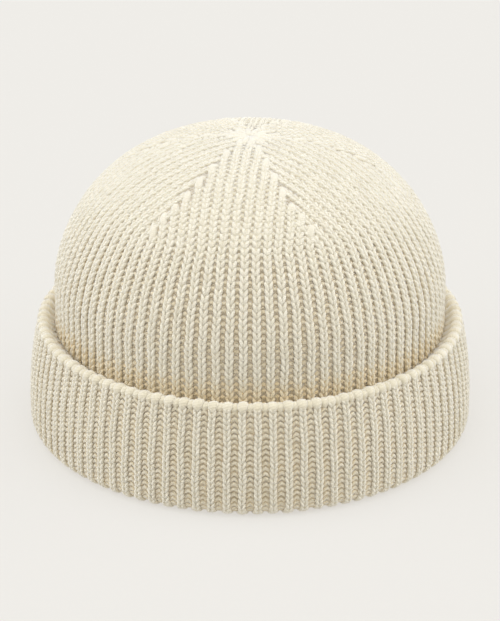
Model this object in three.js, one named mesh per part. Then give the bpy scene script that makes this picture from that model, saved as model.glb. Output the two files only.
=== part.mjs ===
// Knit hat: a ribbed beanie with a domed crown in six wedges and one turned-up cuff.
// Millimetres, +Z up. The origin is the middle of the ring on which the hat stands,
// and -Y is the front. Radii and heights are measured over the tops of the ribs.

import * as THREE from "three";

// Fabric
const RIBS = 96;
const WEDGES = 6;
const RELIEF = 1.8;
const GAP = 0.3;
const YARN_COLOUR = "#ebe3d0";

// Crown: a superellipse of revolution above its widest height, slightly flared below it
const CROWN_RADIUS = 91.2;
const CROWN_TOP = 138.5;
const WIDEST_HEIGHT = 68;
const SIDE_POWER = 2.57;
const TOP_POWER = 1.76;
const CROWN_WALL = 4.5;
const CROWN_FOOT = 10;
const FOOT_FLARE = 3.3;

// Wedges: ribs start to end on the seams where the crown has narrowed to SEAM_RADIUS.
// The middle of the front wedge lies a little to the left, and near the top the fabric
// is pulled so that the front and back wedges are narrower than the ones at the sides.
const SEAM_RADIUS = 73;
const FRONT_AZIMUTH = THREE.MathUtils.degToRad(-6.5625);
const SEAM_SWAY = THREE.MathUtils.degToRad(14.5);
const GATHER_RADIUS = 6;
const GATHER_DIP = 1.2;

// Cuff: outer layer, rounded cast-on edge, and the fold on which the hat stands
const CUFF_RADIUS = 105;
const CUFF_HEIGHT = 51.8;
const CUFF_WALL = 6;
const EDGE_RADIUS = 100.2;
const WALL_POWER = 2.2;
const FOLD_CORNER = 5;
const FOLD_THICKNESS = 5.5;
const LEG_LEAN = 0.6;
const FLAT_INNER_RADIUS = 95.5;

// Rows of the mesh: heights on the crown's outside, shares of SEAM_RADIUS in the wedges,
// heights with a number of points on the crown's inside, and heights on the cuff's wall.
const CROWN_ROWS = [CROWN_FOOT, 50, 59, WIDEST_HEIGHT, 77, 86, 95, 103];
const WEDGE_ROWS = [0.9, 0.8, 0.69, 0.57, 0.45, 0.33, 0.22, 0.13];
const INNER_ROWS = [
  { height: CROWN_FOOT, points: 96 },
  { height: 40, points: 96 },
  { height: WIDEST_HEIGHT, points: 96 },
  { height: 86, points: 96 },
  { height: 103, points: 96 },
  { height: 117, points: 96 },
  { height: 128, points: 96 },
  { height: 135, points: 48 },
  { height: 138, points: 24 },
];
const CUFF_OUTER_ROWS = [16, 30, 41];
const CUFF_INNER_ROWS = [30, 12];
const EDGE_STEPS = 4;
const CORNER_STEPS = 2;

const TURN = 2 * Math.PI;
const QUARTER = Math.PI / 2;
const RIB_ANGLE = TURN / RIBS;
const RIB_PITCH = SEAM_RADIUS * RIB_ANGLE;
const RIBS_PER_WEDGE = RIBS / WEDGES;
const SEAM_MARGIN = RIB_PITCH / 8;
const WEDGE_ANGLE = TURN / WEDGES;
const FIRST_SEAM = FRONT_AZIMUTH - WEDGE_ANGLE / 2;

// A rib's top lies a quarter of a pitch past each whole pitch and its valley a quarter
// before it, counted from a wedge's middle, so that rib ends alternate across a seam.
const RIB_SHIFT = 0.25;

function crownRadius(height) {
  if (height <= WIDEST_HEIGHT) {
    const depth = (WIDEST_HEIGHT - height) / (WIDEST_HEIGHT - CROWN_FOOT);
    return CROWN_RADIUS + FOOT_FLARE * depth ** 2;
  }
  const rise = (height - WIDEST_HEIGHT) / (CROWN_TOP - WIDEST_HEIGHT);
  return CROWN_RADIUS * Math.max(1 - rise ** TOP_POWER, 0) ** (1 / SIDE_POWER);
}

function crownHeight(radius) {
  const share = 1 - (radius / CROWN_RADIUS) ** SIDE_POWER;
  return WIDEST_HEIGHT + (CROWN_TOP - WIDEST_HEIGHT) * share ** (1 / TOP_POWER);
}

// A point of the crown's section, at a depth below its outside: straight in under the
// widest height, so that the foot is cut level, and along the normal above it.
function crownPoint(height, depth) {
  if (height <= WIDEST_HEIGHT) {
    return { r: crownRadius(height) - depth, z: height };
  }
  const step = 0.05;
  const slope = (crownRadius(height + step) - crownRadius(height - step)) / (2 * step);
  const length = Math.hypot(1, slope);
  return {
    r: crownRadius(height) - depth / length,
    z: height + (depth * slope) / length,
  };
}

// Azimuth 0 is the front and grows towards +X.
function place(point, azimuth) {
  return [point.r * Math.sin(azimuth), -point.r * Math.cos(azimuth), point.z];
}

// A closed body made of rings. A ring is a list of vertices in order of their key, and
// rings with different numbers of vertices are zipped together by it.
class Body {
  constructor() {
    this.positions = [];
    this.faces = [];
  }

  vertex(position, key) {
    this.positions.push(...position);
    return { index: this.positions.length / 3 - 1, key };
  }

  triangle(a, b, c) {
    this.faces.push(a.index, b.index, c.index);
  }

  // An open strip between two rows that start and end side by side.
  strip(lower, upper) {
    let i = 0;
    let j = 0;
    while (i < lower.length - 1 || j < upper.length - 1) {
      const nextLower = i < lower.length - 1 ? lower[i + 1].key : Infinity;
      const nextUpper = j < upper.length - 1 ? upper[j + 1].key : Infinity;
      if (nextLower <= nextUpper) {
        this.triangle(lower[i], lower[i + 1], upper[j]);
        i += 1;
      } else {
        this.triangle(lower[i], upper[j + 1], upper[j]);
        j += 1;
      }
    }
  }

  // A closed band between two rings whose keys are azimuths.
  band(lower, upper) {
    const closed = (ring) => [...ring, { index: ring[0].index, key: ring[0].key + TURN }];
    this.strip(closed(lower), closed(upper));
  }

  // A fan from a ring to one vertex in its middle.
  fan(ring, tip) {
    ring.forEach((vertex, i) => this.triangle(vertex, ring[(i + 1) % ring.length], tip));
  }

  mesh(name, colour) {
    const geometry = new THREE.BufferGeometry();
    geometry.setAttribute("position", new THREE.Float32BufferAttribute(this.positions, 3));
    geometry.setIndex(this.faces);
    geometry.computeVertexNormals();
    const material = new THREE.MeshStandardMaterial({ color: colour, roughness: 0.95, metalness: 0 });
    const mesh = new THREE.Mesh(geometry, material);
    mesh.name = name;
    return mesh;
  }
}

// A ring with a top and a valley for each rib. section(depth) gives { r, z } at that depth.
function ribbedRing(body, section, relief) {
  const ring = [];
  for (let rib = 0; rib < RIBS; rib += 1) {
    const top = FIRST_SEAM + (rib + RIB_SHIFT) * RIB_ANGLE;
    const valley = FIRST_SEAM + (rib + 1 - RIB_SHIFT) * RIB_ANGLE;
    ring.push(body.vertex(place(section(0), top), top));
    ring.push(body.vertex(place(section(relief), valley), valley));
  }
  return ring;
}

function plainRing(body, point, points) {
  const step = TURN / points;
  const ring = [];
  for (let i = 0; i < points; i += 1) {
    const azimuth = FIRST_SEAM + (i + RIB_SHIFT) * step;
    ring.push(body.vertex(place(point, azimuth), azimuth));
  }
  return ring;
}

// Azimuth of a seam where the crown has a given radius.
function seamAzimuth(seam, radius) {
  const straight = (seam - 0.5) * WEDGE_ANGLE;
  const pulled = SEAM_SWAY * (1 - (radius / SEAM_RADIUS) ** 2);
  return FRONT_AZIMUTH + straight - pulled * Math.sin(2 * straight);
}

function seamRing(body, radius, relief) {
  const ring = [];
  for (let seam = 0; seam < WEDGES; seam += 1) {
    const azimuth = seamAzimuth(seam, radius);
    ring.push(body.vertex(place(crownPoint(crownHeight(radius), relief), azimuth), azimuth));
  }
  return ring;
}

// One row of the six wedges. Inside a wedge the ribs run side by side at one pitch, keyed
// by the distance across from its middle, and those beyond its seams have ended.
function wedgeRow(body, radius) {
  const height = crownHeight(radius);
  const seams = seamRing(body, radius, RELIEF / 2);
  return seams.map((seam, wedge) => {
    const left = seamAzimuth(wedge, radius);
    const right = seamAzimuth(wedge + 1, radius);
    const middle = (left + right) / 2;
    const half = ((right - left) / 2) * radius;
    const row = [{ index: seam.index, key: -half }];
    for (let rib = -RIBS_PER_WEDGE / 2; rib <= RIBS_PER_WEDGE / 2; rib += 1) {
      for (const shift of [-RIB_SHIFT, RIB_SHIFT]) {
        const across = (rib + shift) * RIB_PITCH;
        const depth = shift > 0 ? 0 : RELIEF;
        if (Math.abs(across) < half - SEAM_MARGIN) {
          const azimuth = middle + across / radius;
          row.push(body.vertex(place(crownPoint(height, depth), azimuth), across));
        }
      }
    }
    row.push({ index: seams[(wedge + 1) % WEDGES].index, key: half });
    return row;
  });
}

// The outside of the crown's top, from the first rib ends to the gather.
function addWedges(body, lowerRing) {
  let row = wedgeRow(body, SEAM_RADIUS);
  const firstRing = row.flatMap((wedge, index) =>
    wedge.slice(0, -1).map((vertex) => ({
      index: vertex.index,
      key: FRONT_AZIMUTH + index * WEDGE_ANGLE + vertex.key / SEAM_RADIUS,
    })),
  );
  body.band(lowerRing, firstRing);
  for (const share of WEDGE_ROWS) {
    const next = wedgeRow(body, share * SEAM_RADIUS);
    row.forEach((wedge, index) => body.strip(wedge, next[index]));
    row = next;
  }
  const gather = seamRing(body, GATHER_RADIUS, 0);
  row.forEach((wedge, index) => {
    const sides = [gather[index], gather[(index + 1) % WEDGES]];
    body.strip(wedge, sides.map((seam, side) => ({
      index: seam.index,
      key: side ? wedge[wedge.length - 1].key : wedge[0].key,
    })));
  });
  body.fan(gather, body.vertex([0, 0, CROWN_TOP - GATHER_DIP], 0));
}

function addCrownInside(body, foot) {
  let ring = foot;
  for (const { height, points } of INNER_ROWS) {
    const next = plainRing(body, crownPoint(height, CROWN_WALL), points);
    body.band(next, ring);
    ring = next;
  }
  body.fan(ring.reverse(), body.vertex([0, 0, CROWN_TOP - CROWN_WALL], 0));
}

function makeCrown() {
  const body = new Body();
  const rings = CROWN_ROWS.map((height) =>
    ribbedRing(body, (depth) => crownPoint(height, depth), RELIEF),
  );
  rings.slice(1).forEach((ring, i) => body.band(rings[i], ring));
  addWedges(body, rings[rings.length - 1]);
  addCrownInside(body, rings[0]);
  return body.mesh("crown", YARN_COLOUR);
}

// Radius of the cuff's outside, which leans in towards its cast-on edge.
function cuffRadius(height) {
  const edgeHeight = CUFF_HEIGHT - CUFF_WALL / 2;
  const rise = Math.max(height - FOLD_CORNER, 0) / (edgeHeight - FOLD_CORNER);
  return CUFF_RADIUS - (CUFF_RADIUS - EDGE_RADIUS) * rise ** WALL_POWER;
}

// A point on an arc of the cuff's section, at an angle from straight out.
function arcPoint(centre, radius, angle) {
  return { r: centre.r + radius * Math.cos(angle), z: centre.z + radius * Math.sin(angle) };
}

// The cuff's rings, in order round its section from the flat ring's outer edge.
function cuffRings(body) {
  const rings = [];
  const corner = { r: CUFF_RADIUS - FOLD_CORNER, z: FOLD_CORNER };
  rings.push(plainRing(body, arcPoint(corner, FOLD_CORNER, -QUARTER), RIBS));
  for (let step = 1; step <= CORNER_STEPS; step += 1) {
    const angle = -QUARTER + (QUARTER * step) / CORNER_STEPS;
    const relief = (RELIEF * step) / CORNER_STEPS;
    rings.push(ribbedRing(body, (depth) => arcPoint(corner, FOLD_CORNER - depth, angle), relief));
  }
  for (const height of CUFF_OUTER_ROWS) {
    rings.push(ribbedRing(body, (depth) => ({ r: cuffRadius(height) - depth, z: height }), RELIEF));
  }
  const edge = { r: EDGE_RADIUS - CUFF_WALL / 2, z: CUFF_HEIGHT - CUFF_WALL / 2 };
  for (let step = 0; step < EDGE_STEPS; step += 1) {
    const angle = (Math.PI * step) / EDGE_STEPS;
    const relief = RELIEF * (1 - step / EDGE_STEPS);
    rings.push(ribbedRing(body, (depth) => arcPoint(edge, CUFF_WALL / 2 - depth, angle), relief));
  }
  rings.push(plainRing(body, arcPoint(edge, CUFF_WALL / 2, Math.PI), RIBS));
  for (const height of CUFF_INNER_ROWS) {
    rings.push(plainRing(body, { r: cuffRadius(height) - CUFF_WALL, z: height }, RIBS));
  }
  return [...rings, ...foldRings(body)];
}

// The fold's inside: the groove between the layers, the leg under the crown's foot, and
// the way back down to the flat ring.
function foldRings(body) {
  const legTop = CROWN_FOOT - GAP;
  const legOuter = crownRadius(CROWN_FOOT);
  const legInner = legOuter - CROWN_WALL;
  const grooveOuter = CUFF_RADIUS - CUFF_WALL;
  const section = [
    { r: (legOuter + grooveOuter) / 2, z: FOLD_THICKNESS },
    { r: legOuter, z: legTop },
    { r: legInner, z: legTop },
    { r: legInner + LEG_LEAN, z: FOLD_CORNER },
    { r: (legInner + FLAT_INNER_RADIUS) / 2, z: FOLD_CORNER / 4 },
    { r: FLAT_INNER_RADIUS, z: 0 },
  ];
  return section.map((point) => plainRing(body, point, RIBS));
}

function makeCuff() {
  const body = new Body();
  const rings = cuffRings(body);
  rings.forEach((ring, i) => body.band(ring, rings[(i + 1) % rings.length]));
  return body.mesh("cuff", YARN_COLOUR);
}

const hat = new THREE.Group();
hat.add(makeCrown(), makeCuff());

export default hat;
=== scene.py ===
import functools
import math

import bmesh
import bpy
import numpy as np
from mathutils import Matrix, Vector


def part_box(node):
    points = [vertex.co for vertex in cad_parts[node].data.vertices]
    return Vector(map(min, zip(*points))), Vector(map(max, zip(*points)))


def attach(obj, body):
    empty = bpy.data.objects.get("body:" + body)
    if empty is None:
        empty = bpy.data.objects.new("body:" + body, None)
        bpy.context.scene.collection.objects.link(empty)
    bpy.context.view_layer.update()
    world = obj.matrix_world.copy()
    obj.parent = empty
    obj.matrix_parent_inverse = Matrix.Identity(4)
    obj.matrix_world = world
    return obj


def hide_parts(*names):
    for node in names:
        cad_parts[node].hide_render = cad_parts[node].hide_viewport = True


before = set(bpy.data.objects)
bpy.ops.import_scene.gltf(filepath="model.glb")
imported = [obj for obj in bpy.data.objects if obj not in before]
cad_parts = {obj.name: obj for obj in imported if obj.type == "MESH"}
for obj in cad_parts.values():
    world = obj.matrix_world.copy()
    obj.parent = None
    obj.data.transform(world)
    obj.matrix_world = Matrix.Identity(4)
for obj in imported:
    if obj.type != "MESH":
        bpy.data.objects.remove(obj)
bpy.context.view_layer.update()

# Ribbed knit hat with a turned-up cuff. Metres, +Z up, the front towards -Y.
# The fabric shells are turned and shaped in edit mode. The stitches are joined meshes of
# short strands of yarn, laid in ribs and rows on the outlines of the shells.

MM = 0.001

# Outlines, over the tops of the ribs. The heights come from the frame.
CROWN_FOOT, CROWN_TOP = (corner.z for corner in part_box("crown"))
CUFF_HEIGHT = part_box("cuff")[1].z
CROWN_RADIUS = 91.2 * MM
WIDEST_HEIGHT = 68 * MM
SIDE_POWER = 2.57
TOP_POWER = 1.76
FOOT_FLARE = 3.3 * MM
CROWN_WALL = 4.5 * MM
CUFF_RADIUS = 105 * MM
CUFF_WALL = 6 * MM
EDGE_RADIUS = 100.2 * MM
WALL_POWER = 2.2
FOLD_CORNER = 5 * MM
FOLD_THICKNESS = 5.5 * MM
FLAT_INNER_RADIUS = 95.5 * MM

# Points along the outlines
TUBE_POINTS = 40
DOME_POINTS = 399
FLAT_POINTS = 2
CORNER_POINTS = 16
WALL_POINTS = 58
EDGE_POINTS = 40

# Ribs and wedges
RIBS = 96
WEDGES = 6
RIBS_PER_WEDGE = RIBS // WEDGES
RIB_ANGLE = 2 * math.pi / RIBS
WEDGE_ANGLE = 2 * math.pi / WEDGES
RIB_SHIFT = 0.25
SEAM_RADIUS = 73 * MM
GATHER_RADIUS = 8.5 * MM
FRONT_AZIMUTH = math.radians(-6.5625)
SEAM_SWAY = math.radians(14.5)
CUFF_PARTS = 4
# Nearer the pole than this, ribs turn as if they were this far from it.
LEAST_RADIUS = 1 * MM

# Rows of stitches. Those of a wedge are as straight as they get inside STRAIGHT_RADIUS.
ROW_STRAIGHTNESS = 0.85
STRAIGHT_RADIUS = 0.65 * SEAM_RADIUS
CROWN_ROW = 3.05 * MM
WEDGE_ROW = 3.1 * MM
CUFF_ROW = 2.5 * MM
LOWEST_CROWN_ROW = 45.5 * MM
ROWS_TO_WEDGE_ROW = 8
MOST_WEDGE_ROWS = 60
SEAM_SAMPLES = 400
FIRST_CUFF_ROW = 7.5 * MM
ROWS_PAST_EDGE = 1.3

# How far strands lie out of place: as a share of aside, in rows along and in millimetres out
LOOSENESS = 0.05
LOBE_LOOSENESS = 0.10
# Ribs wander aside in two waves, given by their length for one radian. Their phases change
# from rib to rib.
WANDER = 0.22 * MM
LONG_WAVE = 5.5 * MM
SHORT_WAVE = 3.1 * MM
RIB_PHASE = 2.4
SHORT_WAVE_PHASE = 2.1

# Depth of the shells under the tops of the ribs
CROWN_SHELL_DEPTH = 1.65 * MM
WEDGE_SHELL_DEPTH = 0.9 * MM
GATHER_SHELL_DEPTH = 0.6 * MM
CUFF_SHELL_DEPTH = 1.75 * MM
FLAT_SHELL_DEPTH = 0.4 * MM
# The cuff's shell has its full depth from this far along its outline. The crown's goes over
# to the gather's between these two lengths from the pole.
FULL_DEPTH_START = 5 * MM
GATHER_BLEND = (25 * MM, 12 * MM)

# Columns of the shells, and rings on the outside and inside of the crown's, which start and
# end at a hole in the top that is drawn together
SHELL_COLUMNS = 4 * RIBS
OUTER_RINGS = 28
INNER_RINGS = 26
POLE_HOLE = 1.5 * MM
TOLERANCE = 0.01 * MM
# The ribs of the back, inside the crown: the height where they start, how far they rise, and
# their limits on the way from one rib to the next. Columns of the shell lie right on those
# limits and fall in or out by rounding, so these ribs are one to three columns wide.
BACK_RIB_START = 14 * MM
BACK_RIB_RISE = 0.9 * MM
BACK_RIB_LIMITS = (0.25, 0.75)

# The turned-up cuff leans on the crown this far below where its edge starts to turn.
LEAN_DEPTH = 0.8 * MM
LEAN_RADIUS = 90.2 * MM
# Inside the cuff: heights in its hollow, and the leg that meets the crown's foot
HOLLOW_MIDDLE = 24 * MM
HOLLOW_BOTTOM = 9 * MM
LEG_GAP = 0.3 * MM
LEG_ROUNDING = 0.6 * MM

# Camera, found by fitting the hat's outline in the photo. SENSOR_SIZE is in millimetres.
IMAGE_HEIGHT = 621
FOCAL_PIXELS = 1910
CAMERA_DISTANCE = 0.9
CAMERA_ELEVATION = math.radians(24.5)
AIM_HEIGHT = 51.2 * MM
SENSOR_SIZE = 36

# Studio: a floor, a sky that brightens from its horizon upwards, and three broad suns
FLOOR_SIZE = 40
SKY_COLOUR = "#fdfbf8"
HORIZON_STRENGTH = 0.21
ZENITH_STRENGTH = 0.78
BACKDROP_STRENGTH = 0.875
SUN_SPREAD = math.radians(60)
SUNS = {
    "light_above": {"place": (0, -0.1, 1.0), "strength": 1.66, "colour": "#f6faff"},
    "light_left": {"place": (-1.0, -0.05, 0.18), "strength": 1.38, "colour": "#ffffff"},
    "light_right": {"place": (1.0, -0.05, 0.18), "strength": 1.38, "colour": "#ffffff"},
}

# Seeds of what is random in the strands of each piece
SEEDS = {"crown_wedge": 100, "cuff_part": 200, "cuff_edge": 250, "cuff_fold": 260,
         "crown_seams": 280, "crown_gather": 300}
# Tones of the yarn, from 0 for the darkest strands to 1 for the palest. The low tones are
# painted shade: purls and cores lie deep between the legs, and the lobes round the cuff's edge
# and fold are painted darker against the strong light from above, most between the ribs.
TONES_WITH_PAINTED_SHADE = {"leg": 0.6, "purl": 0.2, "core": 0.3, "rib_end": 0.6, "gather": 0.7,
         "lobe": 0.15, "lobe_between": 0.05}
TONE_SPREAD = 0.1


def row_of(*values):
    return np.array(values, float)


# One strand of each kind of stitch, as steps along it. aside, out and the half sizes width
# and thickness are in millimetres, along in rows; out is 0 at the tops of the ribs.
CROWN_LEG = {
    "aside": row_of(0.30, 0.53, 0.87, 1.20, 1.42),
    "along": row_of(-0.66, -0.34, 0.00, 0.34, 0.70),
    "out": row_of(-1.42, -0.98, -0.80, -0.88, -1.42),
    "width": row_of(0.64, 0.82, 0.89, 0.82, 0.56),
    "thickness": row_of(0.52, 0.82, 0.88, 0.82, 0.52),
}
CROWN_PURL = {
    "aside": row_of(-1.35, -0.45, 0.45, 1.35),
    "along": row_of(-0.56, -0.40, -0.40, -0.56),
    "out": row_of(-1.88, -1.64, -1.64, -1.88),
    "width": row_of(0.56, 0.98, 0.98, 0.56),
    "thickness": row_of(0.38, 0.52, 0.52, 0.38),
}
# The same in the wedges, where the ribs lie closer together
WEDGE_LEG = {
    "aside": row_of(0.34, 0.56, 0.88, 1.16, 1.30),
    "along": row_of(-0.62, -0.32, 0.00, 0.29, 0.52),
    "out": row_of(-1.35, -0.96, -0.82, -0.88, -1.30),
    "width": row_of(0.72, 0.92, 1.00, 0.90, 0.62),
    "thickness": row_of(0.55, 0.82, 0.88, 0.84, 0.58),
}
WEDGE_PURL = {
    "aside": row_of(-1.15, -0.40, 0.40, 1.15),
    "along": row_of(-0.48, -0.42, -0.42, -0.48),
    "out": row_of(-1.30, -1.06, -1.06, -1.30),
    "width": row_of(0.80, 1.35, 1.35, 0.80),
    "thickness": row_of(0.42, 0.64, 0.64, 0.42),
}
CUFF_LEG = {
    "aside": row_of(0.27, 0.51, 0.84, 1.16, 1.35),
    "along": row_of(-0.66, -0.34, 0.00, 0.34, 0.70),
    "out": row_of(-1.42, -0.96, -0.78, -0.86, -1.42),
    "width": row_of(0.50, 0.66, 0.73, 0.67, 0.44),
    "thickness": row_of(0.46, 0.72, 0.78, 0.73, 0.44),
}
CUFF_PURL = {
    "aside": row_of(-2.20, -1.40, -0.65, 0.0, 0.65, 1.40, 2.20),
    "along": row_of(-0.30, 0.02, 0.34, 0.50, 0.34, 0.02, -0.30),
    "out": row_of(-1.95, -1.75, -1.60, -1.50, -1.60, -1.75, -1.95),
    "width": row_of(0.52, 0.70, 0.84, 0.98, 0.84, 0.70, 0.52),
    "thickness": row_of(0.42, 0.54, 0.60, 0.66, 0.60, 0.54, 0.42),
}
RIB_END = {
    "aside": row_of(0.0, 0.0, -0.05, -0.20, -0.40),
    "along": row_of(-1.50, -0.80, 0.0, 0.65, 1.10),
    "out": row_of(-1.60, -0.95, -0.80, -0.90, -1.60),
    "width": row_of(1.10, 1.65, 1.75, 1.50, 0.90),
    "thickness": row_of(0.50, 0.90, 1.00, 0.95, 0.60),
}
# The drawn-in top: a star of strands that run inwards, with the radius at each step
GATHER = {
    "radius": row_of(11.2, 9.0, 6.4, 3.8, 0.5),
    "out": row_of(-1.7, -0.9, -0.75, -0.9, -1.2),
    "width": row_of(1.0, 1.8, 1.75, 1.35, 1.0),
    "thickness": row_of(0.6, 1.0, 1.05, 1.0, 0.9),
}
GATHER_STRANDS = 2 * WEDGES
GATHER_SPREAD = 0.05
# A long strand under the stitches of each rib, for the backs of their loops. In the
# wedges it is wider and nearer the surface, because the ribs are drawn together.
CORE = {"out": -1.64, "width": 1.62, "thickness": 0.80}
WEDGE_CORE = {"out": -1.28, "width": 1.85, "thickness": 0.75}
CUFF_CORE = {"out": -1.60, "width": 1.55, "thickness": 0.78}
CROWN_CORE_STEPS = 36
CUFF_CORE_STEPS = 14
WEDGE_BLEND = (-12 * MM, 10 * MM)
# Lobes over the cuff's edge, and round its fold: along is in millimetres from where the
# edge starts to turn, and from where the flat ring does.
EDGE_LOBE = {
    "aside": row_of(0.0, 0.0, 0.0, 0.1, 0.2, 0.3, 0.4, 0.5, 0.6),
    "along": row_of(0.2, 1.5, 2.8, 4.2, 5.6, 7.2, 8.8, 10.8, 13.5),
    "out": row_of(-1.60, -1.10, -0.80, -0.60, -0.48, -0.42, -0.42, -0.45, -0.60),
    "width": row_of(1.00, 1.60, 2.10, 2.35, 2.45, 2.45, 2.45, 2.45, 2.10),
    "thickness": row_of(0.50, 0.95, 1.10, 1.15, 1.20, 1.20, 1.15, 1.10, 0.60),
}
FOLD_LOBE = {
    "aside": row_of(0.0, 0.0, 0.0, 0.0, 0.0, 0.0, 0.0, 0.0),
    "along": row_of(-3.5, -1.5, 0.5, 2.2, 3.8, 5.2, 6.6, 8.0),
    "out": row_of(-1.60, -1.20, -1.10, -1.08, -1.15, -1.35, -1.60, -1.90),
    "width": row_of(1.70, 2.40, 2.65, 2.60, 2.40, 2.00, 1.60, 1.00),
    "thickness": row_of(0.50, 0.90, 1.05, 1.05, 1.00, 0.90, 0.75, 0.40),
}
# The same between the ribs, narrower and lower than on them
EDGE_VALLEY = {"width": 0.80, "drop": 0.60}
FOLD_VALLEY = {"width": 0.80, "drop": 1.10}
# Every other wedge lies over its neighbours at the seams, and the rest under them. overrun
# is how far its ribs run past the seams, drop how much lower they end, in millimetres, and
# spare how far before the seams its purl bumps stop, in ribs and negative past them.
OVER = {"overrun": 1.4 * MM, "drop": 0.0, "spare": -0.3}
UNDER = {"overrun": 2.0 * MM, "drop": 0.5, "spare": 0.4}
# Between the ribs the cuff sinks towards its fold, by this much, over this stretch.
FOLD_RELIEF = 0.3 * MM
FOLD_FADE = (12 * MM, 21 * MM)
# Low behind the cuff's edge, yarn gets painted shade: a darker tone, and the painted warmth of
# yarn that lies deeper. That fades out over this stretch of radius, and up to this height over
# the edge.
GROOVE_RADIUS = (93 * MM, 96 * MM)
GROOVE_RISE = 11 * MM
GROOVE_SHADE_DEPTH = 1.25 * MM
GROOVE_SHADE_TONE = 0.6

# Wool: plies twisted into a yarn, and so many tufts of loose fibre to a millimetre. Real
# fibres are finer, and the tufts are drawn this coarse so that they show.
PLIES = 3
PLY_RELIEF = 0.12 * MM
YARN_TUFTS = 1.8 / MM
BACK_TUFTS = 0.9 / MM
BACK_RELIEF = 0.5 * MM
# Yarn is painted warmer, as painted bounce light between the strands, from the first of these
# heights to the second. The tops of the ribs are 0.
PAINTED_WARMTH_HEIGHTS = (-0.7 * MM, -2.0 * MM)
# The mottle of the floor's frosted face
MOTTLE_SIZE = 2.5 * MM


def linear(hex_colour):
    """An sRGB hex colour as a linear RGBA tuple."""
    parts = [int(hex_colour[i:i + 2], 16) / 255 for i in (1, 3, 5)]
    return (*(c / 12.92 if c <= 0.04045 else ((c + 0.055) / 1.055) ** 2.4 for c in parts), 1.0)


def smooth_step(value, low, high):
    """A smooth rise from 0 at low to 1 at high."""
    share = np.clip((value - low) / (high - low), 0, 1)
    return share * share * (3 - 2 * share)


class Outline:
    """Half a section of a round shell, as radius and height by the length along it."""

    def __init__(self, radius, height):
        self.r = np.asarray(radius, float)
        self.z = np.asarray(height, float)
        self.s = np.concatenate([[0.0], np.cumsum(np.hypot(np.diff(self.r), np.diff(self.z)))])
        dr = np.gradient(self.r, self.s)
        dz = np.gradient(self.z, self.s)
        size = np.hypot(dr, dz)
        self.normal_r = dz / size
        self.normal_z = -dr / size

    def radius(self, length):
        return np.interp(length, self.s, self.r)

    def place(self, length, azimuth, out):
        """Points at a length along the outline, an azimuth from the front and an offset
        outwards, with the outward normals there."""
        radius, height = np.interp(length, self.s, self.r), np.interp(length, self.s, self.z)
        level = np.interp(length, self.s, self.normal_r)
        upward = np.interp(length, self.s, self.normal_z)
        sine, cosine = np.sin(azimuth), np.cos(azimuth)
        normals = np.stack([level * sine, -level * cosine, upward], -1)
        points = np.stack([radius * sine, -radius * cosine, height], -1)
        return points + np.asarray(out)[..., None] * normals, normals

    def section(self, lengths, depth):
        """(radius, height) at some lengths along, at a depth under the outline."""
        points, _ = self.place(lengths, np.full(len(lengths), math.pi / 2), -depth)
        return [(point[0], point[2]) for point in points]


def crown_outline():
    """From the foot, up the flared tube and over the dome to the pole."""
    below = np.linspace(0, 1, TUBE_POINTS)
    height = CROWN_FOOT + (WIDEST_HEIGHT - CROWN_FOOT) * below
    radius = CROWN_RADIUS + FOOT_FLARE * (1 - below) ** 2
    turn = np.linspace(0, math.pi / 2, DOME_POINTS + 1)[1:]
    dome_height = WIDEST_HEIGHT + (CROWN_TOP - WIDEST_HEIGHT) * np.sin(turn) ** (2 / TOP_POWER)
    dome_radius = CROWN_RADIUS * np.clip(np.cos(turn), 0, 1) ** (2 / SIDE_POWER)
    return Outline(np.append(radius, dome_radius), np.append(height, dome_height))


def cuff_outline():
    """From the flat ring's inner edge, round the fold, up the wall and over the edge."""
    corner = CUFF_RADIUS - FOLD_CORNER
    corner_turn = np.linspace(-math.pi / 2, 0, CORNER_POINTS)
    half = CUFF_WALL / 2
    edge_turn = np.linspace(0, math.pi, EDGE_POINTS)
    edge_start = CUFF_HEIGHT - half
    rise = np.linspace(0, 1, WALL_POINTS + 2)[1:-1]
    radius = np.concatenate([
        np.linspace(FLAT_INNER_RADIUS, corner, FLAT_POINTS + 1)[:-1],
        corner + FOLD_CORNER * np.cos(corner_turn),
        CUFF_RADIUS - (CUFF_RADIUS - EDGE_RADIUS) * rise ** WALL_POWER,
        EDGE_RADIUS - half + half * np.cos(edge_turn),
        [LEAN_RADIUS],
    ])
    height = np.concatenate([
        np.zeros(FLAT_POINTS),
        FOLD_CORNER * (1 + np.sin(corner_turn)),
        FOLD_CORNER + (edge_start - FOLD_CORNER) * rise,
        edge_start + half * np.sin(edge_turn),
        [edge_start - LEAN_DEPTH],
    ])
    return Outline(radius, height)


CROWN = crown_outline()
CUFF = cuff_outline()
DOME = slice(-DOME_POINTS, None)
OUTSIDE = slice(0, FLAT_POINTS + CORNER_POINTS + WALL_POINTS)


def dome_length(radius):
    """The length along the crown's outline where its dome has a radius."""
    return np.interp(-radius, -CROWN.r[DOME], CROWN.s[DOME])


# Where the first ribs end, the cuff's edge starts to turn, and its flat ring starts to rise
SEAM_START = float(dome_length(SEAM_RADIUS))
EDGE_START = float(np.interp(CUFF_HEIGHT - CUFF_WALL / 2, CUFF.z[OUTSIDE], CUFF.s[OUTSIDE]))
FOLD_START = CUFF_RADIUS - FOLD_CORNER - FLAT_INNER_RADIUS

# Rings of the cuff's shell round its fold, up its wall and over its edge: first and last
# length along the outline, and their number
FOLD_RINGS = (0, 13 * MM, 9)
WALL_RINGS = (18 * MM, 53 * MM, 7)
EDGE_RINGS = (56 * MM, CUFF.s[-1], 9)


def seam_azimuth(seam, radius):
    """Seams start evenly round the crown, and are pulled towards the front and back."""
    straight = (seam - 0.5) * WEDGE_ANGLE
    pulled = SEAM_SWAY * (1 - np.minimum(radius / SEAM_RADIUS, 1) ** 2)
    return FRONT_AZIMUTH + straight - pulled * math.sin(2 * straight)


def rib_pitch(radius):
    """Ribs narrow with the crown down to SEAM_RADIUS, and keep their width above it."""
    return RIB_ANGLE * np.maximum(radius, SEAM_RADIUS)


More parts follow.
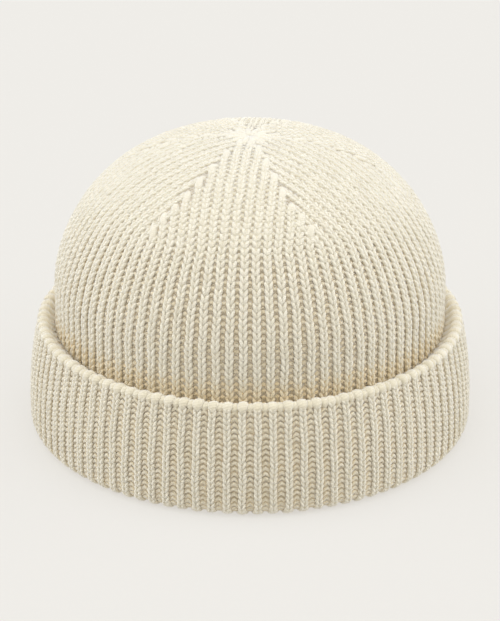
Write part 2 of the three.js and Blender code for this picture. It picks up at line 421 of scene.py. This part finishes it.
def crown_place(wedge, along, rib, aside, out):
    """A place on the crown: the length along the wedge's middle, the rib counted from
    there, and a distance aside from the rib. Above the first rib ends, rows turn from
    rings to nearly straight lines across each wedge."""
    middle_radius = CROWN.radius(along)
    across = rib * rib_pitch(middle_radius) + aside
    straight = ROW_STRAIGHTNESS * smooth_step(-middle_radius, -SEAM_RADIUS, -STRAIGHT_RADIUS)
    radius = np.hypot(middle_radius, straight * across)
    middle = (seam_azimuth(wedge, radius) + seam_azimuth(wedge + 1, radius)) / 2
    azimuth = middle + across / np.maximum(radius, LEAST_RADIUS)
    return CROWN.place(np.where(straight > 0, dome_length(radius), along), azimuth, out)


def room_in_wedge(wedge, along, rib):
    """How far a rib's middle is inside its wedge, negative past the seams."""
    radius = CROWN.radius(along)
    half = (seam_azimuth(wedge + 1, radius) - seam_azimuth(wedge, radius)) / 2
    return half * radius - abs(rib) * rib_pitch(radius)


def cuff_place(along, rib, aside, out):
    """A place on the cuff: the length along its outline, the rib counted from the front, and
    a distance aside from the rib."""
    azimuth = rib * RIB_ANGLE + aside / CUFF.radius(along)
    valley = (1 - np.cos(2 * math.pi * (azimuth / RIB_ANGLE - RIB_SHIFT))) / 2
    relief = FOLD_RELIEF * (1 - smooth_step(along, *FOLD_FADE))
    return CUFF.place(along, FRONT_AZIMUTH + azimuth, out - relief * valley)


def wander(rib, along):
    """Ribs of a real knit run slightly in and out of line."""
    phase = RIB_PHASE * rib
    long_wave = np.sin(along / LONG_WAVE + phase)
    short_wave = np.sin(along / SHORT_WAVE + SHORT_WAVE_PHASE * phase)
    return WANDER * (long_wave + short_wave) / 2


def between_shapes(low, high, share):
    """A shape for each of some places, between two others by the share of the second."""
    return {name: low[name] + share * (high[name] - low[name]) for name in low}


def painted_shade_in_groove(points):
    """How far points are down in the groove behind the cuff's edge, from 0 to 1, which is how
    much painted shade they get.
    """
    behind = 1 - smooth_step(np.hypot(points[..., 0], points[..., 1]), *GROOVE_RADIUS)
    return behind * (1 - smooth_step(points[..., 2], CUFF_HEIGHT, CUFF_HEIGHT + GROOVE_RISE))


class Strands:
    """Short strands of yarn, laid as arrays on a fabric and joined into one mesh."""

    TWIST_LENGTH = 2.6 * MM

    def __init__(self, place, seed, sides=5, looseness=LOOSENESS):
        self.place = place
        self.sides = sides
        self.looseness = looseness
        self.random = np.random.default_rng(seed)
        self.points, self.quads, self.caps = [], [], []
        self.attributes = {"twist": [], "tone": [], "depth": []}
        self.count = 0

    def lay(self, shape, along, rib, row, tone, side=1):
        """Lays a strand of a shape at each place. A side of -1 mirrors it across its rib."""
        side = np.broadcast_to(side, along.shape)[:, None]
        loose = self.random.normal(0, self.looseness, (3, len(along), 1))
        aside = side * shape["aside"] * (1 + loose[0]) * MM + wander(rib, along)[:, None]
        length = along[:, None] + (shape["along"] + loose[1]) * np.reshape(row, (-1, 1))
        out = (shape["out"] + loose[2]) * MM
        centres, normals = self.place(length, rib[:, None], aside, out)
        tones = tone + self.random.normal(0, TONE_SPREAD, len(along))
        self.add(centres, normals, shape["width"] * MM, shape["thickness"] * MM, out, tones)

    def run(self, shape, length, ribs):
        """Lays a long strand on each rib, through a row of lengths along it."""
        out = np.broadcast_to(shape["out"] * MM, length.shape)
        aside = wander(ribs[:, None], length)
        centres, normals = self.place(length, ribs[:, None], aside, out)
        tones = np.full(len(ribs), TONES_WITH_PAINTED_SHADE["core"])
        self.add(centres, normals, shape["width"] * MM, shape["thickness"] * MM, out, tones)

    def add(self, centres, normals, width, thickness, out, tone):
        """Makes a closed tube along each row of centres. width and thickness are half
        sizes, across and along the fabric's normals."""
        strands, steps = centres.shape[:2]
        along = np.gradient(centres, axis=1)
        along /= np.linalg.norm(along, axis=2, keepdims=True)
        across = np.cross(along, normals)
        across /= np.linalg.norm(across, axis=2, keepdims=True)
        up = np.cross(across, along)
        turn = -math.pi / 2 + 2 * math.pi * np.arange(self.sides) / self.sides
        width = np.broadcast_to(width, (strands, steps))[..., None]
        thickness = np.broadcast_to(thickness, (strands, steps))[..., None]
        rise = thickness * np.sin(turn)
        ring = (centres[:, :, None]
                + (width * np.cos(turn))[..., None] * across[:, :, None]
                + rise[..., None] * up[:, :, None])
        index = self.count + np.arange(ring[..., 0].size).reshape(ring.shape[:3])
        here, beyond = index[:, :-1], index[:, 1:]
        quads = np.stack([here, beyond, np.roll(beyond, -1, 2), np.roll(here, -1, 2)], -1)
        length = np.linalg.norm(np.diff(centres, axis=1), axis=2).cumsum(1)
        length = np.concatenate([np.zeros((strands, 1)), length], 1)[..., None]
        start = self.random.random((strands, 1, 1))
        twist = length / self.TWIST_LENGTH + start + np.arange(self.sides) / self.sides
        # Painted shade low behind the cuff's edge: a darker tone, and a depth pushed deeper so
        # that the yarn takes the painted warmth of deep yarn.
        groove = painted_shade_in_groove(ring)
        tones = np.reshape(tone, (-1, 1, 1)) - GROOVE_SHADE_TONE * groove
        depth = out[..., None] + rise - GROOVE_SHADE_DEPTH * groove
        self.points.append(ring.reshape(-1, 3))
        self.quads.append(quads.reshape(-1, 4))
        self.caps.append(np.concatenate([index[:, 0], index[:, -1, ::-1]]))
        for name, values in (("twist", twist), ("tone", tones), ("depth", depth)):
            self.attributes[name].append(np.broadcast_to(values, twist.shape).ravel())
        self.count += index.size

    def piece(self, name, material):
        """Joins all strands into one mesh, with their attributes on its points."""
        points, quads, caps = (np.concatenate(a) for a in (self.points, self.quads, self.caps))
        mesh = bpy.data.meshes.new(name)
        mesh.vertices.add(len(points))
        mesh.vertices.foreach_set("co", points.astype(np.float32).ravel())
        mesh.loops.add(quads.size + caps.size)
        mesh.loops.foreach_set("vertex_index", np.concatenate([quads.ravel(), caps.ravel()]))
        sizes = np.concatenate([np.full(len(quads), 4), np.full(len(caps), self.sides)])
        mesh.polygons.add(len(sizes))
        mesh.polygons.foreach_set("loop_start", np.concatenate([[0], np.cumsum(sizes)[:-1]]))
        mesh.polygons.foreach_set("use_smooth", np.ones(len(sizes), bool))
        for label, values in self.attributes.items():
            layer = mesh.attributes.new(label, "FLOAT", "POINT")
            layer.data.foreach_set("value", np.concatenate(values).astype(np.float32))
        mesh.update(calc_edges=True)
        mesh.validate()
        mesh.materials.append(material)
        obj = bpy.data.objects.new(name, mesh)
        bpy.context.scene.collection.objects.link(obj)
        return obj


def at_seams(wedge):
    """How a wedge meets its neighbours at the seams."""
    return OVER if wedge % 2 == 0 else UNDER


def wedge_rows(wedge):
    """Length along, rib and row height of each knit stitch of a wedge, and each rib's end."""
    lowest = float(np.interp(LOWEST_CROWN_ROW, CROWN.z, CROWN.s))
    highest = float(dome_length(GATHER_RADIUS))
    below = np.arange(SEAM_START, lowest, -CROWN_ROW)
    growth = smooth_step(np.arange(MOST_WEDGE_ROWS), 0, ROWS_TO_WEDGE_ROW)
    steps = CROWN_ROW + (WEDGE_ROW - CROWN_ROW) * growth
    above = SEAM_START + np.cumsum(steps)
    above = above[above < highest]
    ribs = np.arange(-RIBS_PER_WEDGE // 2, RIBS_PER_WEDGE // 2) + RIB_SHIFT
    fine = np.linspace(SEAM_START, highest, SEAM_SAMPLES)
    stitches, ends = [], []
    for rib in ribs:
        inside = fine[room_in_wedge(wedge, fine, rib) > -at_seams(wedge)["overrun"]]
        end = inside[-1] if len(inside) else SEAM_START
        ends.append(end)
        stitches += [(along, rib, CROWN_ROW) for along in below]
        stitches += [(along, rib, step) for along, step in zip(above, steps) if along < end]
    return np.array(stitches).T, np.array(ends), ribs


def knit_wedge(wedge, material):
    """The stitches of a sixth of the crown, from behind the cuff's edge to the gather."""
    strands = Strands(functools.partial(crown_place, wedge), SEEDS["crown_wedge"] + wedge)
    (along, rib, row), ends, ribs = wedge_rows(wedge)
    length = along.min() + (ends[:, None] - along.min()) * np.linspace(0, 1, CROWN_CORE_STEPS)
    share = smooth_step(length - SEAM_START, *WEDGE_BLEND)
    strands.run(between_shapes(CORE, WEDGE_CORE, share), length, ribs)
    share = smooth_step(along[:, None] - SEAM_START, *WEDGE_BLEND)
    leg = between_shapes(CROWN_LEG, WEDGE_LEG, share)
    for side in (-1, 1):
        strands.lay(leg, along, rib, row, TONES_WITH_PAINTED_SHADE["leg"], side)
    between = rib + 0.5
    spare = at_seams(wedge)["spare"] * rib_pitch(CROWN.radius(along))
    kept = (room_in_wedge(wedge, along, between) > spare) | (along <= SEAM_START)
    purl = between_shapes(CROWN_PURL, WEDGE_PURL, share[kept])
    strands.lay(purl, along[kept], between[kept], row[kept], TONES_WITH_PAINTED_SHADE["purl"])
    return strands.piece(f"crown_wedge_{wedge + 1}", material)


def seams(material):
    """The smooth ends of the ribs along the seams."""
    strands = Strands(None, SEEDS["crown_seams"], sides=10)
    for wedge in range(WEDGES):
        _, ends, ribs = wedge_rows(wedge)
        strands.place = functools.partial(crown_place, wedge)
        shape = {**RIB_END, "out": RIB_END["out"] - at_seams(wedge)["drop"]}
        strands.lay(shape, ends, ribs, WEDGE_ROW, TONES_WITH_PAINTED_SHADE["rib_end"], side=np.sign(ribs))
    return strands.piece("crown_seams", material)


def gather(material):
    """The drawn-in top, a star of smooth fat strands round a small dip."""
    strands = Strands(CROWN.place, SEEDS["crown_gather"], sides=10)
    turn = FRONT_AZIMUTH + (np.arange(GATHER_STRANDS) + 0.5) * 2 * math.pi / GATHER_STRANDS
    lengths = np.tile(dome_length(GATHER["radius"] * MM), (GATHER_STRANDS, 1))
    outs = np.tile(GATHER["out"] * MM, (GATHER_STRANDS, 1))
    azimuth = turn[:, None] + strands.random.normal(0, GATHER_SPREAD, lengths.shape)
    centres, normals = CROWN.place(lengths, azimuth, outs)
    tones = np.full(GATHER_STRANDS, TONES_WITH_PAINTED_SHADE["gather"])
    strands.add(centres, normals, GATHER["width"] * MM, GATHER["thickness"] * MM, outs, tones)
    return strands.piece("crown_gather", material)


def knit_cuff_part(part, material):
    """The stitches of a quarter of the cuff: narrow ribs, with wide purl columns between."""
    strands = Strands(cuff_place, SEEDS["cuff_part"] + part)
    rows = np.arange(FIRST_CUFF_ROW, EDGE_START + ROWS_PAST_EDGE * CUFF_ROW, CUFF_ROW)
    count = RIBS // CUFF_PARTS
    ribs = np.arange(count) + part * count + RIB_SHIFT
    along, rib = (grid.ravel() for grid in np.meshgrid(rows, ribs))
    for side in (-1, 1):
        strands.lay(CUFF_LEG, along, rib, CUFF_ROW, TONES_WITH_PAINTED_SHADE["leg"], side)
    strands.lay(CUFF_PURL, along, rib + 0.5, CUFF_ROW, TONES_WITH_PAINTED_SHADE["purl"])
    length = np.linspace(rows[0], rows[-1], CUFF_CORE_STEPS)
    strands.run(CUFF_CORE, np.tile(length, (len(ribs), 1)), ribs)
    return strands.piece(f"cuff_part_{part + 1}", material)


def cuff_lobes(name, lobe, valley, start, material):
    """Smooth lobes where the cuff turns: one on each rib, and a lower one between."""
    strands = Strands(cuff_place, SEEDS[name], sides=8, looseness=LOBE_LOOSENESS)
    ribs = np.arange(RIBS) + RIB_SHIFT
    turn = np.full(RIBS, start)
    width, out = lobe["width"] * valley["width"], lobe["out"] - valley["drop"]
    # Painted shade: the lobes get low tones, lower still between the ribs.
    strands.lay(lobe, turn, ribs, 1 * MM, TONES_WITH_PAINTED_SHADE["lobe"])
    strands.lay({**lobe, "width": width, "out": out}, turn, ribs + 0.5, 1 * MM,
                TONES_WITH_PAINTED_SHADE["lobe_between"])
    return strands.piece(name, material)


def add_node(tree, kind, settings=None, inputs=None):
    """Adds a node with its settings and its inputs, each a value or another node's output."""
    node = tree.nodes.new(kind)
    for name, value in (settings or {}).items():
        setattr(node, name, value)
    for name, value in (inputs or {}).items():
        if isinstance(value, bpy.types.NodeSocket):
            tree.links.new(value, node.inputs[name])
        else:
            node.inputs[name].default_value = value
    return node


def new_material(name):
    """A new material with an empty node tree, and that tree."""
    material = bpy.data.materials.new(name)
    material.use_nodes = True
    material.node_tree.nodes.clear()
    return material, material.node_tree


def wool_shader(tree, colour, normal):
    """Matt wool, with the pale bloom of its surface fibres at grazing angles."""
    shader = add_node(tree, "ShaderNodeBsdfPrincipled", inputs={
        "Base Color": colour, "Roughness": 0.95, "IOR": 1.5, "Specular IOR Level": 0.15,
        "Sheen Weight": 1.0, "Sheen Roughness": 0.7, "Normal": normal})
    add_node(tree, "ShaderNodeOutputMaterial", inputs={"Surface": shader.outputs["BSDF"]})


def woollen_spun_yarn():
    """Undyed wool, woollen-spun and three-ply: matt, with slanting plies and loose fibres that
    break up the light. Where it lies deep between other strands it is painted warmer, as painted
    bounce light, and its low tones are painted shade."""
    material, tree = new_material("undyed_three_ply_wool")
    place = add_node(tree, "ShaderNodeTexCoord")
    twist = add_node(tree, "ShaderNodeAttribute", {"attribute_name": "twist"})
    tone = add_node(tree, "ShaderNodeAttribute", {"attribute_name": "tone"})
    depth = add_node(tree, "ShaderNodeAttribute", {"attribute_name": "depth"})
    fibre = add_node(tree, "ShaderNodeTexNoise", inputs={
        "Vector": place.outputs["Object"], "Scale": YARN_TUFTS, "Detail": 3.0})
    turns = add_node(tree, "ShaderNodeMath", {"operation": "MULTIPLY"},
                     {0: twist.outputs["Fac"], 1: PLIES * 2 * math.pi})
    ply = add_node(tree, "ShaderNodeMath", {"operation": "SINE"}, {0: turns.outputs[0]})
    height = add_node(tree, "ShaderNodeMath", {"operation": "MULTIPLY_ADD"},
                      {0: fibre.outputs["Fac"], 1: 1.5, 2: ply.outputs[0]})
    bump = add_node(tree, "ShaderNodeBump", inputs={
        "Strength": 0.5, "Distance": PLY_RELIEF, "Height": height.outputs[0]})
    # Painted bounce light: yarn that lies deep between the strands is painted in a warmer
    # colour.
    painted_warmth = add_node(tree, "ShaderNodeMapRange", {"interpolation_type": "SMOOTHSTEP"}, {
        "Value": depth.outputs["Fac"],
        "From Min": PAINTED_WARMTH_HEIGHTS[0], "From Max": PAINTED_WARMTH_HEIGHTS[1]})
    # The tone mixes the yarn's colour: a random spread, and painted shade where tones are low.
    pale = add_node(tree, "ShaderNodeMix", {"data_type": "RGBA"}, {
        "Factor": tone.outputs["Fac"], "A": linear("#dfd4b6"), "B": linear("#f7f0dc")})
    colour = add_node(tree, "ShaderNodeMix", {"data_type": "RGBA"}, {
        "Factor": painted_warmth.outputs["Result"], "A": pale.outputs["Result"],
        "B": linear("#f2deb3")})
    wool_shader(tree, colour.outputs["Result"], bump.outputs["Normal"])
    return material


def knitted_back():
    """The back of the same knit, seen inside the hat: a rib of small slanting legs, drawn in
    relief on the shells by their own rib and row counts. Its tan, darker than the yarn, is
    painted shade where the shells show between the strands, and it is darker still, as painted
    shade, where the relief is low."""
    material, tree = new_material("wool_knit_back")
    place = add_node(tree, "ShaderNodeTexCoord")
    counts = add_node(tree, "ShaderNodeUVMap", {"uv_map": "knit"})
    split = add_node(tree, "ShaderNodeSeparateXYZ", inputs={"Vector": counts.outputs["UV"]})
    doubled = add_node(tree, "ShaderNodeMath", {"operation": "MULTIPLY"},
                       {0: split.outputs["X"], 1: 2.0})
    lean = add_node(tree, "ShaderNodeMath", {"operation": "PINGPONG"},
                    {0: doubled.outputs[0], 1: 0.5})
    slant = add_node(tree, "ShaderNodeMath", {"operation": "MULTIPLY_ADD"},
                     {0: lean.outputs[0], 1: 1.2, 2: split.outputs["Y"]})
    turns = add_node(tree, "ShaderNodeMath", {"operation": "MULTIPLY"},
                     {0: slant.outputs[0], 1: 2 * math.pi})
    leg = add_node(tree, "ShaderNodeMath", {"operation": "SINE"}, {0: turns.outputs[0]})
    fibre = add_node(tree, "ShaderNodeTexNoise", inputs={
        "Vector": place.outputs["Object"], "Scale": BACK_TUFTS, "Detail": 3.0})
    height = add_node(tree, "ShaderNodeMath", {"operation": "MULTIPLY_ADD"},
                      {0: fibre.outputs["Fac"], 1: 0.5, 2: leg.outputs[0]})
    bump = add_node(tree, "ShaderNodeBump", inputs={
        "Strength": 0.9, "Distance": BACK_RELIEF, "Height": height.outputs[0]})
    # Painted shade: the tan darkens where the legs' relief is low.
    shade = add_node(tree, "ShaderNodeMapRange", inputs={
        "Value": leg.outputs[0], "From Min": -1.0, "From Max": 1.0})
    colour = add_node(tree, "ShaderNodeMix", {"data_type": "RGBA"}, {
        "Factor": shade.outputs["Result"], "A": linear("#e2cfa9"), "B": linear("#ecdcbb")})
    wool_shader(tree, colour.outputs["Result"], bump.outputs["Normal"])
    return material


def light_table():
    """Opal acrylic lit from below, as product photographs use to lose the shadows: two
    thirds of its light is its own, and its frosted face is faintly mottled."""
    material, tree = new_material("backlit_opal_acrylic")
    place = add_node(tree, "ShaderNodeTexCoord")
    mottle = add_node(tree, "ShaderNodeTexNoise", inputs={
        "Vector": place.outputs["Object"], "Scale": 1 / MOTTLE_SIZE, "Detail": 2.0})
    colour = add_node(tree, "ShaderNodeMix", {"data_type": "RGBA"}, {
        "Factor": mottle.outputs["Fac"], "A": linear("#858481"), "B": linear("#878683")})
    shader = add_node(tree, "ShaderNodeBsdfPrincipled", inputs={
        "Base Color": colour.outputs["Result"], "Roughness": 1.0, "Specular IOR Level": 0.0,
        "Emission Color": linear("#f0ede8"), "Emission Strength": 0.65})
    add_node(tree, "ShaderNodeOutputMaterial", inputs={"Surface": shader.outputs["BSDF"]})
    return material


def select_vertices(obj, wanted):
    """Selects the vertices of a mesh in edit mode whose place is wanted(x, y, z)."""
    work = bmesh.from_edit_mesh(obj.data)
    for vertex in work.verts:
        vertex.select = bool(wanted(*vertex.co))
    work.select_flush_mode()
    bmesh.update_edit_mesh(obj.data)


def turned_shell(name, rings):
    """A round shell, turned from a circle by pulling one ring after another out of it.
    rings is a list of (radius, height). It is left in edit mode."""
    bpy.ops.object.select_all(action="DESELECT")
    radius, height = rings[0]
    bpy.ops.mesh.primitive_circle_add(vertices=SHELL_COLUMNS, radius=radius,
                                      location=(0, 0, height))
    bpy.ops.object.transform_apply(location=True, rotation=False, scale=False)
    obj = bpy.context.object
    obj.name = obj.data.name = name
    bpy.ops.object.mode_set(mode="EDIT")
    bpy.ops.mesh.select_mode(type="VERT")
    bpy.ops.mesh.select_all(action="SELECT")
    for next_radius, next_height in rings[1:]:
        bpy.ops.mesh.extrude_edges_move(
            TRANSFORM_OT_translate={"value": (0, 0, next_height - height)})
        share = next_radius / radius
        bpy.ops.transform.resize(value=(share, share, 1), center_override=(0, 0, next_height))
        radius, height = next_radius, next_height
    return obj


def finish_shell(obj, material):
    """Turns a shell's faces outwards, leaves edit mode and smooths it."""
    bpy.ops.mesh.select_all(action="SELECT")
    bpy.ops.mesh.normals_make_consistent(inside=False)
    bpy.ops.object.mode_set(mode="OBJECT")
    bpy.ops.object.shade_smooth()
    obj.data.materials.append(material)
    return obj


def ribs_in_relief(obj, on_wall, rise):
    """Pushes the columns of a wall that lie between its ribs inwards, as ribs of its back."""
    low, high = BACK_RIB_LIMITS

    def in_valley(x, y, z):
        azimuth = math.atan2(x, -y) - FRONT_AZIMUTH
        place = (azimuth / RIB_ANGLE - RIB_SHIFT) % 1
        return on_wall(math.hypot(x, y), z) and low < place < high

    select_vertices(obj, in_valley)
    bpy.ops.transform.shrink_fatten(value=-rise)


def crown_shell(material):
    """The crown's fabric under its stitches: outside, foot and inside as one closed wall."""
    top = CROWN.s[-1]
    down = np.linspace(top - POLE_HOLE, 0, OUTER_RINGS)
    up = np.linspace(0, top - POLE_HOLE, INNER_RINGS)
    start, end = (SEAM_START + step for step in WEDGE_BLEND)
    gather_start, gather_end = (top - step for step in GATHER_BLEND)
    depth = np.interp(down, (start, end, gather_start, gather_end), (
        CROWN_SHELL_DEPTH, WEDGE_SHELL_DEPTH, WEDGE_SHELL_DEPTH, GATHER_SHELL_DEPTH))
    rings = CROWN.section(down, depth) + CROWN.section(up, CROWN_WALL)
    obj = turned_shell("crown_fabric", rings)
    for radius, height in (rings[0], rings[-1]):
        pole = Vector((0, 0, height))
        select_vertices(obj, lambda *place: (Vector(place) - pole).length < radius + TOLERANCE)
        bpy.ops.mesh.merge(type="CENTER")
    middle = (CROWN_WALL + CROWN_SHELL_DEPTH) / 2
    seam_height = float(np.interp(SEAM_START, CROWN.s, CROWN.z))

    def on_inner_wall(radius, height):
        deep = np.interp(height, CROWN.z, CROWN.r) - radius > middle
        return deep and BACK_RIB_START < height < seam_height

    ribs_in_relief(obj, on_inner_wall, BACK_RIB_RISE)
    return finish_shell(obj, material)


def cuff_shell(material):
    """The cuff's fabric under its stitches, a closed ring of J-shaped section."""
    lengths = np.concatenate([np.linspace(*run) for run in (FOLD_RINGS, WALL_RINGS, EDGE_RINGS)])
    lean = CUFF.s[-1] - LEAN_DEPTH
    depth = np.interp(lengths, (0, FULL_DEPTH_START, lean, CUFF.s[-1]),
                      (FLAT_SHELL_DEPTH, CUFF_SHELL_DEPTH, CUFF_SHELL_DEPTH, 0))
    leg_outer = CROWN.r[0]
    leg_inner = leg_outer - CROWN_WALL
    leg_top = CROWN_FOOT - LEG_GAP
    hollow = CUFF_RADIUS - CUFF_WALL
    rings = CUFF.section(lengths, depth) + [
        (hollow, HOLLOW_MIDDLE),
        (hollow, HOLLOW_BOTTOM),
        ((leg_outer + hollow) / 2, FOLD_THICKNESS),
        (leg_outer, leg_top),
        (leg_inner, leg_top),
        (leg_inner + LEG_ROUNDING, FOLD_CORNER),
        ((leg_inner + FLAT_INNER_RADIUS) / 2, FOLD_CORNER / 4),
    ]
    obj = turned_shell("cuff_fabric", rings)
    bpy.ops.mesh.select_all(action="DESELECT")
    bpy.ops.mesh.select_mode(type="EDGE")
    bpy.ops.mesh.select_non_manifold(extend=False)
    bpy.ops.mesh.bridge_edge_loops()
    return finish_shell(obj, material)


def count_ribs_and_rows(obj):
    """Gives a shell a UV map that counts ribs in one direction and rows in the other."""
    mesh = obj.data
    layer = mesh.uv_layers.new(name="knit")
    for face in mesh.polygons:
        centre = math.atan2(face.center.x, -face.center.y)
        for corner in face.loop_indices:
            x, y, z = mesh.vertices[mesh.loops[corner].vertex_index].co
            azimuth = math.atan2(x, -y) if math.hypot(x, y) > 0 else centre
            azimuth += 2 * math.pi * round((centre - azimuth) / (2 * math.pi))
            rib = (azimuth - FRONT_AZIMUTH) / RIB_ANGLE - RIB_SHIFT
            layer.data[corner].uv = (rib, (z - math.hypot(x, y)) / CROWN_ROW)


def aimed(obj, place, aim):
    """Puts a light or camera at a place and aims it at another."""
    obj.location = place
    obj.rotation_euler = (Vector(aim) - Vector(place)).to_track_quat("-Z", "Y").to_euler()
    bpy.context.scene.collection.objects.link(obj)


def studio():
    """A wide pale floor, with broad soft light from above and both sides. Past the floor's
    far edge the background has the floor's own tone."""
    bpy.ops.object.select_all(action="DESELECT")
    bpy.ops.mesh.primitive_plane_add(size=FLOOR_SIZE, location=(0, 0, 0))
    floor = bpy.context.object
    floor.name = "floor"
    floor.data.materials.append(light_table())
    world = bpy.data.worlds.new("studio")
    world.use_nodes = True
    tree = world.node_tree
    place = add_node(tree, "ShaderNodeTexCoord")
    split = add_node(tree, "ShaderNodeSeparateXYZ",
                     inputs={"Vector": place.outputs["Generated"]})
    upward = add_node(tree, "ShaderNodeMapRange", inputs={
        "Value": split.outputs["Z"], "To Min": HORIZON_STRENGTH, "To Max": ZENITH_STRENGTH})
    ray = add_node(tree, "ShaderNodeLightPath")
    strength = add_node(tree, "ShaderNodeMix", {"data_type": "FLOAT"}, {
        "Factor": ray.outputs["Is Camera Ray"], "A": upward.outputs["Result"],
        "B": BACKDROP_STRENGTH})
    background = tree.nodes["Background"]
    background.inputs["Color"].default_value = linear(SKY_COLOUR)
    tree.links.new(strength.outputs["Result"], background.inputs["Strength"])
    bpy.context.scene.world = world
    for name, sun in SUNS.items():
        light = bpy.data.lights.new(name, "SUN")
        light.color = linear(sun["colour"])[:3]
        light.energy = sun["strength"]
        light.angle = SUN_SPREAD
        aimed(bpy.data.objects.new(name, light), sun["place"], (0, 0, 0))


def camera():
    """A camera in front of the hat, at the photo's angle and distance."""
    data = bpy.data.cameras.new("camera")
    data.sensor_width = SENSOR_SIZE
    data.lens = FOCAL_PIXELS * data.sensor_width / IMAGE_HEIGHT
    view = bpy.data.objects.new("camera", data)
    aim = Vector((0, 0, AIM_HEIGHT))
    away = Vector((0, -math.cos(CAMERA_ELEVATION), math.sin(CAMERA_ELEVATION)))
    aimed(view, aim + CAMERA_DISTANCE * away, aim)
    bpy.context.scene.camera = view


def main():
    yarn, back = woollen_spun_yarn(), knitted_back()
    shells = {"crown": crown_shell(back), "cuff": cuff_shell(back)}
    wedges = [knit_wedge(wedge, yarn) for wedge in range(WEDGES)]
    crown_knit = [*wedges, seams(yarn), gather(yarn)]
    cuff_knit = [knit_cuff_part(part, yarn) for part in range(CUFF_PARTS)]
    cuff_knit.append(cuff_lobes("cuff_edge", EDGE_LOBE, EDGE_VALLEY, EDGE_START, yarn))
    cuff_knit.append(cuff_lobes("cuff_fold", FOLD_LOBE, FOLD_VALLEY, FOLD_START, yarn))
    knit = {"crown": crown_knit, "cuff": cuff_knit}
    for node, shell in shells.items():
        count_ribs_and_rows(shell)
        for obj in [shell, *knit[node]]:
            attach(obj, "root")
            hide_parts(node)
    studio()
    camera()
    bpy.context.scene.view_settings.view_transform = "Standard"


main()
